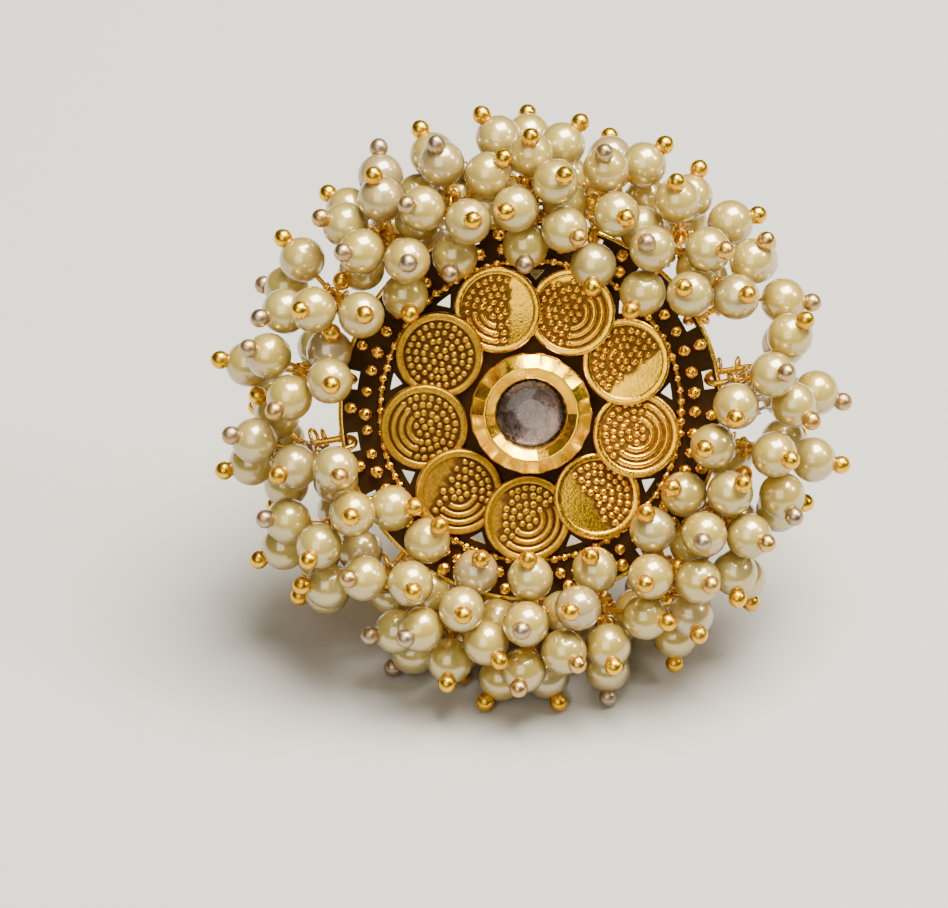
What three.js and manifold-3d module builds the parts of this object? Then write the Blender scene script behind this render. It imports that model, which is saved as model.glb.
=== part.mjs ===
// Cocktail finger ring: an openwork dial of nine overlapping coins round a bezel-set stone,
// edged with bunches of pearl drops that hang from wire links, on a plain finger band.
// Millimetres. The ring rests on its lower drops and its band, with +Z up and the finger's way along X.
// In the head's own frame u runs along X, v up the face and w out of the face; w = 0 is the plate's top.

import * as THREE from 'three';
import { mergeVertices } from 'three/addons/utils/BufferGeometryUtils.js';
import Module from 'manifold-3d';

const wasm = await Module();
wasm.setup();

const { abs, sin, cos, asin, atan2, hypot, floor, max, min, PI } = Math;
const TURN = 2 * PI;
const radians = THREE.MathUtils.degToRad;

// ---- driving dimensions -------------------------------------------------------------------

const PLATE = {
  radius: 12.55,
  thickness: 0.6,
  sides: 36,
  sink: 0.1, // how far what is soldered on reaches into the plate
};
const SLOTS = { inner: 11.35, outer: 12.1, spread: radians(8) };
const WINDOWS = { apex: 8.4, base: 9.35, halfSpread: radians(6) };
const CUT_DEPTH = 3; // of a cutter, which goes right through the plate and its ridges
const BEADED_WIRE = { radius: 9.8, width: 0.46, height: 0.4 };
const GRANULES = { radius: 10.8, width: 0.75, height: 0.62 };

const COINS = {
  count: 9,
  circle: 7.0,
  radius: 2.84,
  thickness: 0.6,
  rim: 0.42,
  relief: 0.14, // of the rim and the boss over the field
  lean: radians(8.4),
  lift: 0.67,
  start: radians(28),
  sides: 14,
};

const BEZEL = { outer: 3.96, shoulder: 1.75, ridge: 3.03, top: 2.6, mouth: 2.3, lip: 1.95, floor: 0.3 };
const BEZEL_SIDES = 20;
const STONE = { girdle: 2.12, crown: 1.72, table: 1.1, foot: 1.9, facets: 12 };
const STONE_LEVELS = { foot: 0.5, girdle: 1.2, edge: 1.35, crown: 1.75, table: 1.95 };

const BAND = { bore: 8.75, wall: 1.4, width: 4.5, seat: -0.75, flat: 0.35, arcSteps: 18 };

const LINK = {
  count: 18,
  inner: 11.65,
  outer: 15.0,
  half: 0.72,
  corners: 8,
  wire: 0.22,
  wireSides: 5,
  lean: radians(25),
};
const PEARL = { radius: 1.5, around: 10, pierced: 1.44 }; // its pin leaves it that far from its centre
const PIN = { radius: 0.22, foot: 0.12, sides: 4 }; // it narrows to its foot, inside the link's wire
const BALL = { radius: 0.55, around: 5, out: 1.95 }; // its middle lies that far from the pearl's
const GAP = 0.1; // between neighbouring drops
const SEAM = 0.06; // edges shorter than this are closed up where solids join
const MERGE = 1e-4; // corners closer than this are one corner

// Rows of drops from the edge inwards: how many a full row has, and where its pearls' centres lie.
const ROWS = [
  { row: 'rim', count: 18, radius: 18.0, height: -0.6, start: 6 },
  { row: 'flank', count: 21, radius: 16.7, height: 2.0, start: 0 },
  { row: 'shoulder', count: 20, radius: 15.0, height: 3.7, start: 10 },
  { row: 'crown', count: 19, radius: 13.1, height: 4.3, start: 3 },
  { row: 'inner', count: 18, radius: 11.1, height: 3.3, start: 12 },
  { row: 'under', count: 38, radius: 15.4, height: -2.9, start: 5 },
];
// Stretches of a row with no drops, in degrees anticlockwise from u.
const BARE = [
  { row: 'inner', from: 4, to: 44 },
  { row: 'inner', from: 140, to: 196 },
  { row: 'crown', from: 8, to: 34 },
  { row: 'crown', from: 174, to: 190 },
  { row: 'shoulder', from: 14, to: 28 },
  { row: 'under', from: 0, to: 46 },
  { row: 'under', from: 134, to: 226 },
  { row: 'under', from: 314, to: 360 },
];
// Further drops that hang between and under the rows wherever one fits.
const UNDER = { tries: 9000, inner: 14.2, outer: 18.3, low: -3.6, high: 3.2, most: 22 };
const OVAL = 0.55; // the rows are this much wider along u, and narrower along v
const STRAY = { turn: radians(5), radius: 0.5, height: 0.5 };
const REACH = { least: 2.9, most: 4.1 }; // from a drop's seat on its link to its pearl's centre
const SETTLE = { rounds: 160, free: 40, pull: 0.06 };
const NEAR = 6; // pearls with centres further apart than this can't touch
const ALONG_PIN = [0, 0.25, 0.5]; // where a pin is tested against pearls, from its seat
const ALONG_LINK = [0.25, 0.55, 0.85];
// The lowest that a pearl's centre may lie over the coins, the dial's edge and the finger.
const OVER_COINS = { within: 10.6, height: 3.1 };
const OVER_EDGE = { within: 12.95, height: 2.4 };
const SEED = 16;
// The lowest loose drops lie on the surface that the ring rests on, at this radius and height.
const REST = { reach: 18.9, height: -0.6 };

const MATERIALS = {
  gold: new THREE.MeshStandardMaterial({ color: 0xc8922e, roughness: 0.35, metalness: 1 }),
  wire: new THREE.MeshStandardMaterial({ color: 0xe0c58a, roughness: 0.3, metalness: 0.2 }),
  glass: new THREE.MeshStandardMaterial({ color: 0xa79aa0, roughness: 0.08, metalness: 0 }),
};

// ---- solids -------------------------------------------------------------------------------

// The closed solid of a three.js geometry.
function solidOf(geometry) {
  const bare = geometry.clone();
  for (const name of Object.keys(bare.attributes)) if (name !== 'position') bare.deleteAttribute(name);
  const merged = mergeVertices(bare, MERGE);
  return new wasm.Manifold(new wasm.Mesh({
    numProp: 3,
    vertProperties: new Float32Array(merged.attributes.position.array),
    triVerts: new Uint32Array(merged.index.array),
  }));
}

// Solids joined into one, with the slivers along each seam closed up.
function joined(solids) {
  return solids.reduce((whole, solid) => whole.add(solid).asOriginal().simplify(SEAM));
}

function meshOf(name, solid, material) {
  const { vertProperties, triVerts } = solid.getMesh();
  const geometry = new THREE.BufferGeometry();
  geometry.setAttribute('position', new THREE.BufferAttribute(new Float32Array(vertProperties), 3));
  geometry.setIndex(new THREE.BufferAttribute(new Uint32Array(triVerts), 1));
  geometry.computeVertexNormals();
  const mesh = new THREE.Mesh(geometry, material);
  mesh.name = name;
  return mesh;
}

// A solid of revolution about w from its [radius, height] outline, from the foot up.
function turned(outline, sides) {
  const lathe = new THREE.LatheGeometry(outline.map(([r, w]) => new THREE.Vector2(r, w)), sides);
  return lathe.rotateX(PI / 2);
}

const polar = (radius, angle, height = 0) =>
  new THREE.Vector3(radius * cos(angle), radius * sin(angle), height);

// ---- dial ---------------------------------------------------------------------------------

// A low ridge round the dial, standing for a row of beads.
const ridgeOutline = ({ radius, width, height }) => [
  [radius + width / 2, 0],
  [radius + width / 4, height],
  [radius - width / 4, height],
  [radius - width / 2, 0],
];

function plate() {
  const outline = [
    [0, -PLATE.thickness],
    [PLATE.radius, -PLATE.thickness],
    [PLATE.radius, 0],
    ...ridgeOutline(GRANULES),
    ...ridgeOutline(BEADED_WIRE),
    [0, 0],
  ];
  return solidOf(turned(outline, PLATE.sides));
}

// A cutter through the plate from the [radius, angle] corners of its outline.
function cutter(corners) {
  const shape = new THREE.Shape(corners.map(([r, a]) => new THREE.Vector2(r * cos(a), r * sin(a))));
  const block = new THREE.ExtrudeGeometry(shape, { depth: CUT_DEPTH, bevelEnabled: false });
  return solidOf(block.translate(0, 0, -(CUT_DEPTH + PLATE.thickness) / 2));
}

// Slots that the links pass through, which leave a bar round the edge for them to hang on.
function slotCutters() {
  const half = SLOTS.spread / 2;
  return Array.from({ length: LINK.count }, (_, k) => {
    const at = linkAngle(k);
    return cutter([
      [SLOTS.inner, at - half],
      [SLOTS.outer, at - half],
      [SLOTS.outer, at + half],
      [SLOTS.inner, at + half],
    ]);
  });
}

// Three-sided windows between neighbouring coins and the beaded wire.
function windowCutters() {
  const { apex, base, halfSpread } = WINDOWS;
  return Array.from({ length: COINS.count }, (_, k) => {
    const at = COINS.start + ((k + 0.5) * TURN) / COINS.count;
    return cutter([
      [apex, at],
      [base, at - halfSpread],
      [base, at],
      [base, at + halfSpread],
    ]);
  });
}

// A coin with a raised rim and a low boss, leaning so that it lies on its clockwise neighbour.
function coin(k) {
  const { radius, thickness, rim, relief } = COINS;
  const top = thickness / 2;
  const field = top - relief;
  const outline = [
    [0, -top],
    [radius, -top],
    [radius, top],
    [radius - rim, top],
    [radius - rim - relief, field],
    [0, top],
  ];
  const at = COINS.start + (k * TURN) / COINS.count;
  const centre = polar(COINS.circle, at, COINS.lift);
  const disc = turned(outline, COINS.sides);
  return solidOf(disc.rotateX(-COINS.lean).rotateZ(at).translate(centre.x, centre.y, centre.z));
}

function bezel() {
  const outline = [
    [0, -PLATE.sink],
    [BEZEL.outer, -PLATE.sink],
    [BEZEL.outer, BEZEL.shoulder],
    [BEZEL.ridge, BEZEL.top],
    [BEZEL.mouth, BEZEL.lip],
    [BEZEL.mouth, BEZEL.floor],
    [0, BEZEL.floor],
  ];
  return solidOf(turned(outline, BEZEL_SIDES));
}

function coinDial() {
  const pierced = [...slotCutters(), ...windowCutters()].reduce((left, cut) => left.subtract(cut), plate());
  const coins = Array.from({ length: COINS.count }, (_, k) => coin(k));
  return meshOf('coin_dial', joined([pierced, ...coins, bezel()]), MATERIALS.gold);
}

function centreStone() {
  const level = STONE_LEVELS;
  const outline = [
    [0, level.foot],
    [STONE.foot, level.foot],
    [STONE.girdle, level.girdle],
    [STONE.girdle, level.edge],
    [STONE.crown, level.crown],
    [STONE.table, level.table],
    [0, level.table],
  ];
  return meshOf('centre_stone', solidOf(turned(outline, STONE.facets)), MATERIALS.glass);
}

// ---- finger band --------------------------------------------------------------------------

const BAND_OUTER = BAND.bore + BAND.wall;
const BAND_CENTRE = BAND.seat + BAND.flat - BAND_OUTER;
const OVER_FINGER = { within: BAND.bore + 2, height: BAND_CENTRE + BAND.bore + PEARL.radius };

// A plain band whose top is flattened under the dial; its finger's way runs along u.
function fingerBand() {
  const shape = new THREE.Shape();
  const corner = asin((BAND_OUTER - BAND.flat) / BAND_OUTER);
  shape.absarc(0, 0, BAND_OUTER, PI - corner, TURN + corner, false);
  const bore = new THREE.Path();
  bore.absarc(0, 0, BAND.bore, 0, TURN, true);
  shape.holes.push(bore);
  const hoop = new THREE.ExtrudeGeometry(shape, {
    depth: BAND.width,
    bevelEnabled: false,
    curveSegments: BAND.arcSteps,
  });
  hoop.rotateX(PI / 2).rotateZ(PI / 2).translate(-BAND.width / 2, 0, BAND_CENTRE);
  return meshOf('finger_band', solidOf(hoop), MATERIALS.gold);
}

// ---- how the ring rests -------------------------------------------------------------------

// The face leans back from level by the angle at which the drops and the band touch one plane:
// reach sin(a) - height cos(a) = BAND_OUTER - BAND_CENTRE cos(a), solved for a.
const REST_ARM = REST.height - BAND_CENTRE;
const LEAN = asin(BAND_OUTER / hypot(REST.reach, REST_ARM)) + atan2(REST_ARM, REST.reach);
const FLOOR_DEPTH = BAND_OUTER - BAND_CENTRE * cos(LEAN);
const UP = new THREE.Vector3(0, sin(LEAN), cos(LEAN));
const heightOver = (point) => point.dot(UP) + FLOOR_DEPTH;

// ---- layout of the drops ------------------------------------------------------------------

function randomSource(seed) {
  const [factor, step, range] = [1664525, 1013904223, 4294967296];
  let state = seed;
  return () => {
    state = (factor * state + step) % range;
    return (2 * state) / range - 1;
  };
}

function linkAngle(k) {
  return ((k + 0.5) * TURN) / LINK.count;
}

const linkLean = (k) => (k % 2 ? LINK.lean : -LINK.lean);

// A point of link k, from its place along the radius and its height across the link.
function onLink(k, radius, across) {
  const at = linkAngle(k);
  const side = across * sin(linkLean(k));
  const point = polar(radius, at, across * cos(linkLean(k)) - PLATE.thickness / 2);
  return point.add(new THREE.Vector3(-sin(at) * side, cos(at) * side, 0));
}

// Where drops may hang on a link: along its upper side, round its outer end and along its lower side.
const SEATS = [
  { along: 0.35, across: 1 },
  { along: 0.6, across: 1 },
  { along: 0.85, across: 1 },
  { along: 1, across: 0.4 },
  { along: 1, across: -0.4 },
  { along: 0.8, across: -1 },
  { along: 0.5, across: -1 },
  { along: 0.65, across: -1 },
  { along: 1, across: 0 },
];
const FLAT = cos(PI / LINK.corners); // a link's ends are this much nearer to their middle on the flats

function seatPoint(k, seat) {
  const reach = LINK.outer - LINK.half + (seat.along === 1 ? LINK.half * FLAT : 0);
  const start = LINK.inner + LINK.half;
  const radius = seat.along === 1 ? reach : start + seat.along * (reach - start);
  return onLink(k, radius, seat.across * LINK.half * FLAT);
}

function isBare(row, degrees) {
  return BARE.some((patch) => patch.row === row && degrees > patch.from && degrees < patch.to);
}

// Every drop of every row at its first place, with the link that it hangs on.
function looseDrops() {
  const random = randomSource(SEED);
  const drops = [];
  for (const { row, count, radius, height, start } of ROWS) {
    for (let k = 0; k < count; k += 1) {
      const degrees = start + (360 * k) / count;
      const angle = radians(degrees) + STRAY.turn * random();
      const out = radius + OVAL * cos(2 * angle) + STRAY.radius * random();
      const pearl = polar(out, angle, height + STRAY.height * random());
      if (isBare(row, degrees)) continue;
      const turns = (((angle / TURN) % 1) + 1) % 1;
      drops.push({ pearl, home: pearl.clone(), link: floor(turns * LINK.count) });
    }
  }
  return drops;
}

// Each drop takes the nearest seat of its link that is still free.
function seatDrops(drops) {
  const taken = new Set();
  for (const drop of drops) {
    let nearest = Infinity;
    let chosen = 0;
    SEATS.forEach((seat, s) => {
      const distance = seatPoint(drop.link, seat).distanceTo(drop.pearl);
      if (distance < nearest && !taken.has(`${drop.link} ${s}`)) {
        nearest = distance;
        chosen = s;
      }
    });
    taken.add(`${drop.link} ${chosen}`);
    drop.seat = seatPoint(drop.link, SEATS[chosen]);
  }
}

const wayOut = (drop) => drop.pearl.clone().sub(drop.seat).normalize();
const ballOf = (drop) => drop.pearl.clone().addScaledVector(wayOut(drop), BALL.out);

// Moves pearls a and b apart where point p, held by a, and point q, held by b, are too close.
function part(a, p, b, q, least) {
  const apart = p.clone().sub(q);
  const distance = apart.length();
  if (distance >= least) return;
  const move = apart.multiplyScalar((least - distance) / (2 * distance));
  a.pearl.add(move);
  b.pearl.sub(move);
}

// Moves a pearl off a fixed point.
function keepOff(drop, point, least) {
  const away = drop.pearl.clone().sub(point);
  const distance = away.length();
  if (distance < least) drop.pearl.addScaledVector(away, (least - distance) / distance);
}

function settlePair(a, b) {
  if (a.pearl.distanceTo(b.pearl) > NEAR) return;
  part(a, a.pearl, b, b.pearl, 2 * PEARL.radius + GAP);
  part(a, a.pearl, b, ballOf(b), PEARL.radius + BALL.radius + GAP);
  part(b, b.pearl, a, ballOf(a), PEARL.radius + BALL.radius + GAP);
  part(a, ballOf(a), b, ballOf(b), 2 * BALL.radius + GAP);
  for (const share of ALONG_PIN) {
    keepOff(a, b.seat.clone().lerp(b.pearl, share), PEARL.radius + PIN.radius + GAP);
    keepOff(b, a.seat.clone().lerp(a.pearl, share), PEARL.radius + PIN.radius + GAP);
  }
}

// Keeps a pearl off the links, the dial, the finger and the surface below, and within its pin's length.
function settleAlone(drop) {
  const { pearl } = drop;
  for (const share of ALONG_LINK) {
    const radius = LINK.inner + share * (LINK.outer - LINK.inner);
    for (const across of [-LINK.half, LINK.half]) {
      keepOff(drop, onLink(drop.link, radius, across), PEARL.radius + LINK.wire + GAP);
    }
  }
  const radius = hypot(pearl.x, pearl.y);
  if (radius < OVER_EDGE.within) pearl.z = max(pearl.z, OVER_EDGE.height);
  if (radius < OVER_COINS.within) pearl.z = max(pearl.z, OVER_COINS.height);
  if (abs(pearl.y) < OVER_FINGER.within) pearl.z = max(pearl.z, OVER_FINGER.height);
  const low = min(heightOver(pearl) - PEARL.radius, heightOver(ballOf(drop)) - BALL.radius);
  if (low < 0) pearl.addScaledVector(UP, -low);
  const out = pearl.clone().sub(drop.seat);
  const reach = THREE.MathUtils.clamp(out.length(), REACH.least, REACH.most);
  pearl.copy(drop.seat).addScaledVector(out.normalize(), reach);
}

function settledDrops() {
  const drops = looseDrops();
  seatDrops(drops);
  for (let round = 0; round < SETTLE.rounds; round += 1) {
    if (round < SETTLE.rounds - SETTLE.free) {
      for (const drop of drops) drop.pearl.lerp(drop.home, SETTLE.pull);
    }
    drops.forEach((a, i) => drops.slice(i + 1).forEach((b) => settlePair(a, b)));
    drops.forEach(settleAlone);
  }
  return drops;
}

// ---- pearl bunches ------------------------------------------------------------------------

// A link: a ring of wire with its outer half drawn out along the radius.
function link(k) {
  const ring = new THREE.TorusGeometry(LINK.half, LINK.wire, LINK.wireSides, LINK.corners);
  ring.rotateZ(PI / LINK.corners);
  const place = ring.getAttribute('position');
  const drawn = LINK.outer - LINK.inner - 2 * LINK.half;
  for (let i = 0; i < place.count; i += 1) if (place.getX(i) > 0) place.setX(i, place.getX(i) + drawn);
  const at = linkAngle(k);
  const middle = polar(LINK.inner + LINK.half, at, -PLATE.thickness / 2);
  ring.rotateX(PI / 2 - linkLean(k)).rotateZ(at);
  return solidOf(ring.translate(middle.x, middle.y, middle.z));
}

// The faces between two rings of corners about one axis; a ring of a single corner is a tip.
function stitch(low, high) {
  const faces = [];
  const [steps, ends] = [low, high].map((ring) => (ring.length > 1 ? ring.length : 0));
  let [i, j] = [0, 0];
  while (i < steps || j < ends) {
    const here = low[i % low.length];
    const there = high[j % high.length];
    if (j < ends && (i >= steps || (j + 1) / ends <= (i + 1) / steps)) {
      j += 1;
      faces.push([here, high[j % ends], there]);
    } else {
      i += 1;
      faces.push([here, low[i % steps], there]);
    }
  }
  return faces;
}

// A closed body about w from its [radius, height, sides] rings, from the foot up.
function stepped(rings) {
  const corners = [];
  const rows = rings.map(([radius, height, sides]) => Array.from({ length: sides }, (_, n) => {
    corners.push(...polar(radius, (n * TURN) / sides, height));
    return corners.length / 3 - 1;
  }));
  const foot = rows[0].slice(2).map((corner, n) => [rows[0][0], corner, rows[0][n + 1]]);
  const faces = [foot, ...rows.slice(1).map((row, n) => stitch(rows[n], row))].flat();
  const body = new THREE.BufferGeometry();
  body.setAttribute('position', new THREE.Float32BufferAttribute(corners, 3));
  return body.setIndex(faces.flat());
}

// A pearl on a pin whose far end is a ball, pointing away from its link.
function pearlDrop(drop) {
  const reach = drop.pearl.distanceTo(drop.seat);
  const shoulder = PEARL.radius * sin(PI / 4);
  const body = stepped([
    [PIN.foot, -reach, PIN.sides],
    [PIN.radius, -PEARL.pierced, PIN.sides],
    [shoulder, -shoulder, PEARL.around],
    [PEARL.radius, 0, PEARL.around],
    [shoulder, shoulder, PEARL.around],
    [PIN.radius, PEARL.pierced, BALL.around],
    [BALL.radius, BALL.out, BALL.around],
    [0, BALL.out + BALL.radius, 1],
  ]);
  const aim = new THREE.Quaternion().setFromUnitVectors(new THREE.Vector3(0, 0, 1), wayOut(drop));
  const { x, y, z } = drop.pearl;
  return solidOf(body.applyQuaternion(aim).translate(x, y, z));
}

function pearlBunches() {
  const drops = settledDrops();
  return Array.from({ length: LINK.count }, (_, k) => {
    const own = drops.filter((drop) => drop.link === k);
    const name = `pearl_bunch_${String(k + 1).padStart(2, '0')}`;
    return meshOf(name, joined([link(k), ...own.map(pearlDrop)]), MATERIALS.wire);
  });
}

// ---- assembly -----------------------------------------------------------------------------

const head = new THREE.Group();
head.add(coinDial(), centreStone(), fingerBand(), ...pearlBunches());
head.rotation.x = LEAN;

const ring = new THREE.Group();
ring.add(head);
const box = new THREE.Box3().setFromObject(ring, true);
const middle = box.getCenter(new THREE.Vector3());
head.position.set(-middle.x, -middle.y, FLOOR_DEPTH);

export default ring;
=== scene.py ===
"""The looks of a cocktail finger ring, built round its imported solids: a dial of nine lapped coins round a
bezel-set stone, edged with bunches of pearl drops on wire links, on a plain finger band.

Pieces are modelled in the head's own frame, in millimetres: u to the right, v up the face and w out of the
face, with w = 0 on the top of the dial's plate. set_in_place() then moves a finished piece to the ring."""

import random
from math import asin, atan2, ceil, cos, degrees, floor, hypot, pi, radians, sin

import bpy
import numpy as np
from mathutils import Matrix, Vector
from numpy.linalg import norm


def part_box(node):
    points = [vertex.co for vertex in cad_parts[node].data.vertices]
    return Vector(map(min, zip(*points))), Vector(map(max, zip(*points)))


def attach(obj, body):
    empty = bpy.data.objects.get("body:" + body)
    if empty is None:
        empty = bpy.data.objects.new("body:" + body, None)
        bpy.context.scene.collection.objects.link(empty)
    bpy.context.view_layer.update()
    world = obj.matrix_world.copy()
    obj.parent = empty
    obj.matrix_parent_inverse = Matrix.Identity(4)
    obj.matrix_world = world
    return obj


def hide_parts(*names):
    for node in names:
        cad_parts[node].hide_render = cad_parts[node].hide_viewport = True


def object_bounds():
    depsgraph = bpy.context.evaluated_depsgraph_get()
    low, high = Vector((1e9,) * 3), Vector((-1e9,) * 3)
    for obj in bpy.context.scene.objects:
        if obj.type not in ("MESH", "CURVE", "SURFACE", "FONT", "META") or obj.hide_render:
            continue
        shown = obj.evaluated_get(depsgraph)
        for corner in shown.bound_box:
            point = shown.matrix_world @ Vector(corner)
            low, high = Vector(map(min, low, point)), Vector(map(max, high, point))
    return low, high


TURN = 2 * pi
MM = 0.001

# ---- the maker's dimensions ----------------------------------------------------------------

PLATE = {"radius": 12.55, "thickness": 0.6}
SLOTS = {"inner": 11.4, "outer": 12.1, "spread": radians(6)}
WINDOWS = {"apex": 8.55, "base": 9.25, "spread": radians(7)}
RIM_WIRE = {"radius": 12.3, "wire": 0.27}
BEADED_WIRE = {"radius": 9.8, "bead": 0.33, "beads": 84, "height": 0.2, "wire": 0.18, "wire_height": 0.12}
GRANULES = {"radius": 10.75, "bead": 0.46, "beads": 50, "height": 0.26}
STRUT_BALLS = {"radius": 11.75, "bead": 0.46, "beads": 18, "height": 0.26}

COINS = {
    "count": 9,
    "circle": 7.0,
    "radius": 2.84,
    "thickness": 0.6,
    "rim": 0.52,
    "relief": 0.18,
    "dome": 0.09,
    "twist": 0.3,
    "lean": radians(8.4),
    "lift": 0.67,
    "start": radians(28),
}
DOTS = {"radius": 0.25, "height": 0.23, "pitch": 0.505, "rings": 4, "spacing": 0.49}
# What is struck on each coin, from the one at COINS["start"] anticlockwise. Directions are in degrees from
# u. Past `bare_from` towards `bare`, the field is smooth; within `span` of `ridged`, the dots of the outer
# rings run together into ridges; `wear` is how far the dots are worn down. The last number is painted
# shade:
# how much darker the coin is painted where its lean turns it away from the light.
STRIKES = [
    {"bare": -50, "bare_from": 0.7, "ridged": 150, "span": 0, "wear": 0.0, "painted_shade": 0.0},
    {"bare": 100, "bare_from": 2.0, "ridged": -30, "span": 120, "wear": 0.0, "painted_shade": 0.0},
    {"bare": 0, "bare_from": 0.75, "ridged": 230, "span": 70, "wear": 0.1, "painted_shade": 0.1},
    {"bare": 20, "bare_from": 2.3, "ridged": 0, "span": 0, "wear": 0.1, "painted_shade": 0.85},
    {"bare": 90, "bare_from": 2.1, "ridged": 190, "span": 110, "wear": 0.35, "painted_shade": 1.0},
    {"bare": 150, "bare_from": 1.0, "ridged": 280, "span": 100, "wear": 0.25, "painted_shade": 0.9},
    {"bare": 170, "bare_from": 1.6, "ridged": 310, "span": 150, "wear": 0.45, "painted_shade": 0.8},
    {"bare": 215, "bare_from": 0.5, "ridged": 120, "span": 0, "wear": 0.1, "painted_shade": 0.4},
    {"bare": 200, "bare_from": 2.2, "ridged": -30, "span": 190, "wear": 0.0, "painted_shade": 0.0},
]

BEZEL = {"outer": 3.96, "shoulder": 1.9, "ridge": 3.03, "top": 2.6, "mouth": 2.3, "lip": 2.05, "floor": 0.3}
FILED_FACETS = 22
STONE = {"girdle": 2.12, "foot": 1.9, "crown": 1.7, "table": 0.95, "facets": 12}
STONE_LEVELS = {"foot": 0.5, "girdle": 1.2, "edge": 1.3, "crown": 1.72, "table": 1.93}
FOIL = {"radius": 2.25, "level": 0.42, "lit": (-0.25, -0.42), "lit_within": 1.75, "fading": 0.35}

BAND = {"bore": 8.75, "wall": 1.4, "width": 4.5, "seat": -0.75, "flat": 0.35}
SOLDER = {"foot": 1.9, "head": 1.7, "low": -1.0, "high": -0.5}
BAND_OUTER = BAND["bore"] + BAND["wall"]
BAND_CENTRE = BAND["seat"] + BAND["flat"] - BAND_OUTER

LINK = {"count": 18, "inner": 11.65, "outer": 15.0, "half": 0.72, "wire": 0.22, "lean": radians(25)}
PIN = 0.16
PIN_RADIUS = 0.22  # for laying the drops out, thicker than PIN
PEARL = 1.5
BALL = {"radius": 0.55, "out": 1.95}
EYE = {"radius": 0.42, "wire": 0.13}
WRAP = {"wire": 0.1, "turns": 2, "pitch": 0.17, "tilt": 0.25, "off_eye": 0.12}
SPARE_LOOPS = {"each": 5, "radius": 0.55, "wire": 0.13}
LOOSE_WIRES = {"count": 18, "inner": 12.4, "outer": 13.4, "from": -7, "to": 9, "thin": 0.09, "thick": 0.13}
TARNISHED = 0.27  # how many of the ball ends have lost their gilding
GAP = 0.1

# ---- how the ring lies -----------------------------------------------------------------------

REST = {"reach": 18.9, "height": -0.6}
REST_ARM = REST["height"] - BAND_CENTRE
LEAN = asin(BAND_OUTER / hypot(REST["reach"], REST_ARM)) + atan2(REST_ARM, REST["reach"])
FLOOR_DEPTH = BAND_OUTER - BAND_CENTRE * cos(LEAN)

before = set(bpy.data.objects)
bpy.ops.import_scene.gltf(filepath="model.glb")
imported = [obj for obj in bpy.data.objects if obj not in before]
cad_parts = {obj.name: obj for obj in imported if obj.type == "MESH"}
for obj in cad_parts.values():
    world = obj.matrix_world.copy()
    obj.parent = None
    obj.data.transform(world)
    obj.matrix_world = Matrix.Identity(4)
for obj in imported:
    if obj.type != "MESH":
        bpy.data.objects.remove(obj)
CAD_LOW, CAD_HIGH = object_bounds()
band_low, band_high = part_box("finger_band")
FACE = Vector((0, -sin(LEAN), cos(LEAN)))
UP_FACE = Vector((0, cos(LEAN), sin(LEAN)))
BAND_MIDDLE = Vector(((band_low.x + band_high.x) / 2, band_high.y - BAND_OUTER * MM, BAND_OUTER * MM))
HEAD = BAND_MIDDLE - FACE * BAND_CENTRE * MM
TO_RING = Matrix.Translation(HEAD) @ Matrix.Rotation(LEAN, 4, "X") @ Matrix.Scale(MM, 4)


def polar(radius, angle, height=0.0):
    return Vector((radius * cos(angle), radius * sin(angle), height))


# ---- modelling -------------------------------------------------------------------------------


def nothing_selected():
    """Leaves object mode with nothing selected."""
    if bpy.context.object and bpy.context.object.mode != "OBJECT":
        bpy.ops.object.mode_set(mode="OBJECT")
    bpy.ops.object.select_all(action="DESELECT")


def only(piece):
    """Makes this piece the one that is selected."""
    nothing_selected()
    bpy.context.view_layer.objects.active = piece
    piece.select_set(True)


def edit(piece):
    """Opens a piece for modelling, with every corner selected."""
    only(piece)
    bpy.ops.object.mode_set(mode="EDIT")
    bpy.ops.mesh.select_mode(type="VERT")
    bpy.ops.mesh.select_all(action="SELECT")


def done():
    bpy.ops.object.mode_set(mode="OBJECT")
    piece = bpy.context.object
    nothing_selected()
    return piece


def newest(name):
    """The primitive just added, named and with its place in its mesh."""
    piece = bpy.context.object
    piece.name = name
    piece.data.name = name
    piece.data.transform(piece.matrix_basis)
    piece.matrix_basis = Matrix.Identity(4)
    return piece


def select_faces(piece, wanted):
    """Selects only the wanted faces."""
    bpy.ops.mesh.select_mode(type="FACE")
    bpy.ops.object.mode_set(mode="OBJECT")
    for part in (piece.data.vertices, piece.data.edges):
        part.foreach_set("select", [False] * len(part))
    for face in piece.data.polygons:
        face.select = wanted(face)
    bpy.ops.object.mode_set(mode="EDIT")


def closed_up(piece):
    """Merges corners that coincide and turns every face outwards."""
    edit(piece)
    bpy.ops.mesh.remove_doubles(threshold=1e-4)
    bpy.ops.mesh.normals_make_consistent(inside=False)
    return done()


def smooth(piece, angle):
    only(piece)
    bpy.ops.object.shade_smooth_by_angle(angle=radians(angle))
    nothing_selected()
    return piece


def finished_with(piece, kind, **settings):
    """Adds a modifier and applies it."""
    only(piece)
    modifier = piece.modifiers.new(kind.lower(), kind)
    for name, value in settings.items():
        setattr(modifier, name, value)
    bpy.ops.object.modifier_apply(modifier=modifier.name)
    nothing_selected()
    return piece


def bevelled(piece, width, segments, angle):
    return finished_with(
        piece, "BEVEL", width=width, segments=segments, limit_method="ANGLE", angle_limit=radians(angle)
    )


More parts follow.
